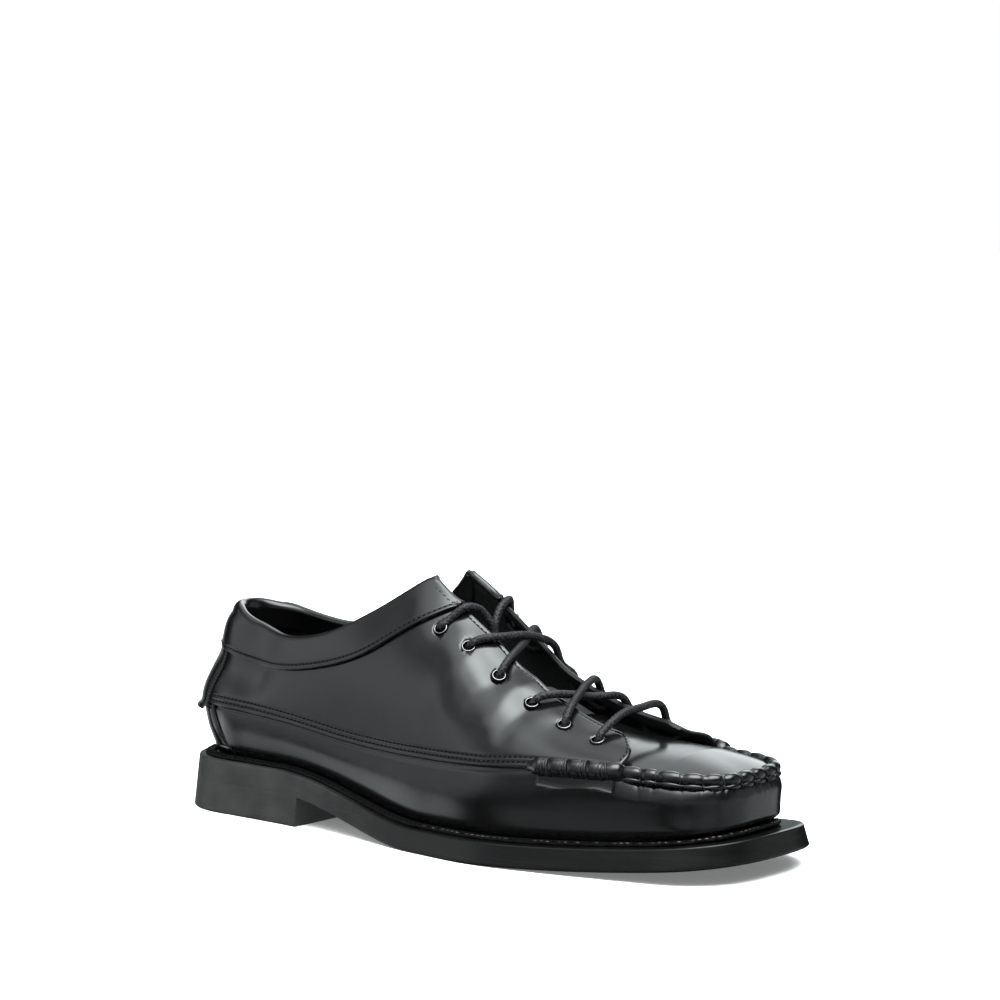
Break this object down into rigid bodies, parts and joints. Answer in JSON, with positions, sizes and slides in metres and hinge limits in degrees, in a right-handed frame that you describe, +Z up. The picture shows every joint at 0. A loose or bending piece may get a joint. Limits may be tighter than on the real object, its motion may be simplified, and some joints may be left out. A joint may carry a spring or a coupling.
{
  "type": "square toe lace-up moccasin shoe",
  "caption": "Black leather right shoe with a square moc toe, hollow upper open at collar and throat, laced through metal eyelets, on a welted rubber sole with a low heel.",
  "frame": {"origin": "middle of the sole's box in plan, at floor height", "axes": "+X along the shoe to the toe, +Y to the medial side, +Z up"},
  "size_m": [0.3026, 0.1073, 0.1126],
  "materials": {
    "sole": "satin black edge, fine scuffs",
    "welt": "satin, stitched",
    "insole": "matt smooth leather",
    "upper": "polished black, glossy",
    "tongue": "soft black, half matt",
    "eyelet": "dark nickel, worn bright rim",
    "lace": "waxed round braid"
  },
  "bodies": {
    "root": {"outsole": "sole", "heel": "sole", "welt": "welt", "insole": "insole", "upper": "upper", "collar_band": "upper", "backstay_upper": "upper", "backstay_lower": "upper", "tongue": "tongue", "lace_bar": "lace", "lace_cross_lower": "lace", "lace_cross_upper": "lace", "eyelet_lateral_1": "eyelet", "eyelet_lateral_2": "eyelet", "eyelet_lateral_3": "eyelet", "eyelet_lateral_4": "eyelet", "eyelet_lateral_5": "eyelet", "eyelet_lateral_6": "eyelet", "eyelet_medial_1": "eyelet", "eyelet_medial_2": "eyelet", "eyelet_medial_3": "eyelet", "eyelet_medial_4": "eyelet", "eyelet_medial_5": "eyelet", "eyelet_medial_6": "eyelet", "beef_roll_lateral": "upper", "beef_roll_medial": "upper", "lace_end_lateral": "lace", "lace_end_medial": "lace"}
  },
  "joints": []
}
